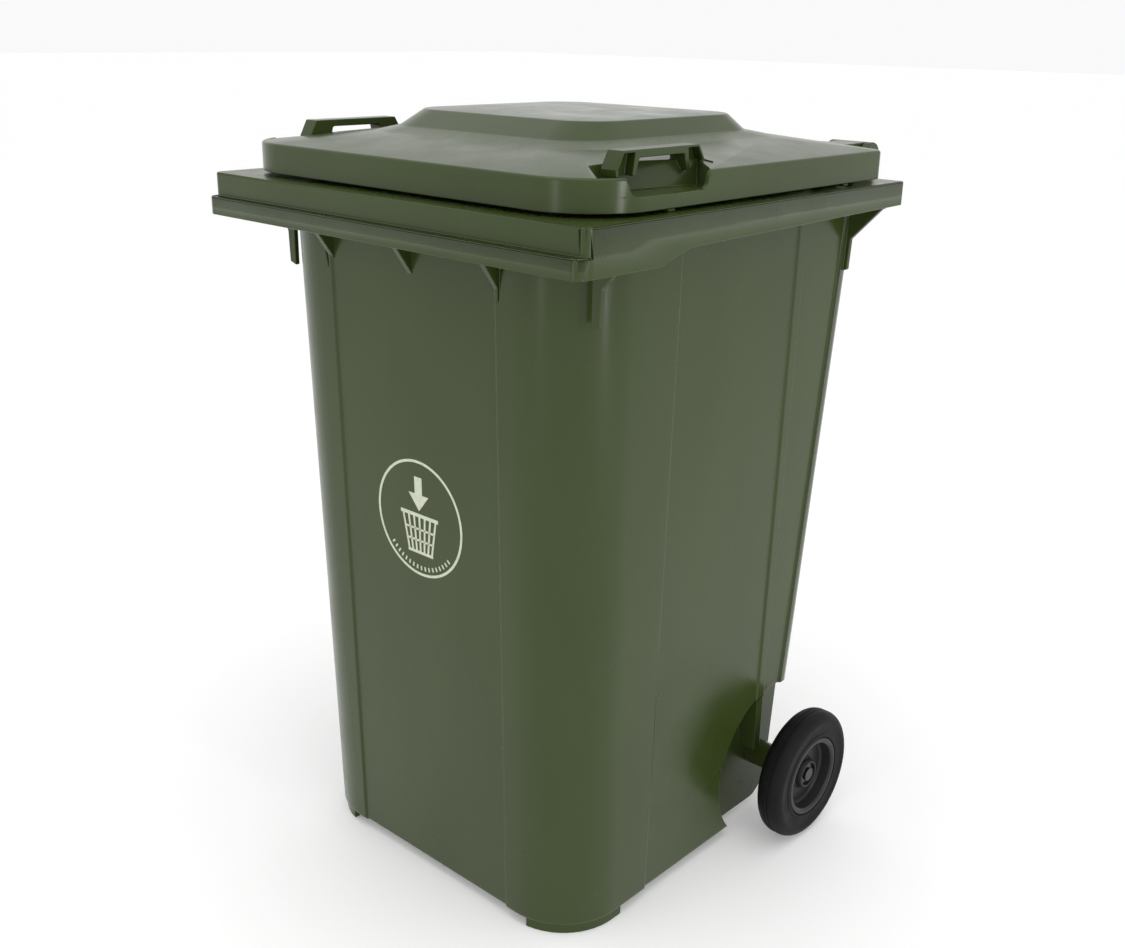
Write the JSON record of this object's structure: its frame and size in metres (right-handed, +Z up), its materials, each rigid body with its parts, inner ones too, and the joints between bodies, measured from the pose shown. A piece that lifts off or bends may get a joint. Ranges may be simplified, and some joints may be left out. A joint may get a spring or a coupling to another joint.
{
  "type": "wheeled litter bin",
  "caption": "Two-wheeled upright litter bin with a tapered moulded body, lifting rim, rear handle bar and a hinged domed lid.",
  "frame": {"origin": "on the ground, under the middle of the bin's whole box", "axes": "+X to the side, left to right from the front, -Y to the front with the lifting lip and the sign, +Y to the hinge, handle and wheels, +Z up"},
  "size_m": [0.69, 0.722, 1.0545],
  "materials": {
    "green_hdpe": "moulded, semi-gloss olive green",
    "sign_print": "thin cream print",
    "coated_steel": "drawn bar, dark zinc coat",
    "pin_plastic": "black, lightly grained",
    "tyre_rubber": "dull black",
    "core_plastic": "moulded, dark grey",
    "bush_plastic": "plain acetal"
  },
  "bodies": {
    "bin": {"body": "green_hdpe", "decal": "sign_print", "axle": "coated_steel", "hinge_pin_left": "pin_plastic", "hinge_pin_right": "pin_plastic", "axle_washer_left": "coated_steel", "axle_washer_right": "coated_steel", "axle_clip_left": "coated_steel", "axle_clip_right": "coated_steel"},
    "lid": {"lid": "green_hdpe"},
    "wheel_left": {"tyre_left": "tyre_rubber", "wheel_core_left": "core_plastic", "wheel_bush_left": "bush_plastic"},
    "wheel_right": {"tyre_right": "tyre_rubber", "wheel_core_right": "core_plastic", "wheel_bush_right": "bush_plastic"}
  },
  "joints": [
    {"name": "lid_hinge", "type": "hinge", "parent": "bin", "child": "lid", "pos_m": [0, 0.342, 0.9925], "axis": [-1, 0, 0], "range_deg": [0, 260]},
    {"name": "wheel_spin_left", "type": "hinge", "parent": "bin", "child": "wheel_left", "pos_m": [-0.32, 0.18, 0.099], "axis": [1, 0, 0], "continuous": true},
    {"name": "wheel_spin_right", "type": "hinge", "parent": "bin", "child": "wheel_right", "pos_m": [0.32, 0.18, 0.099], "axis": [1, 0, 0], "continuous": true}
  ]
}
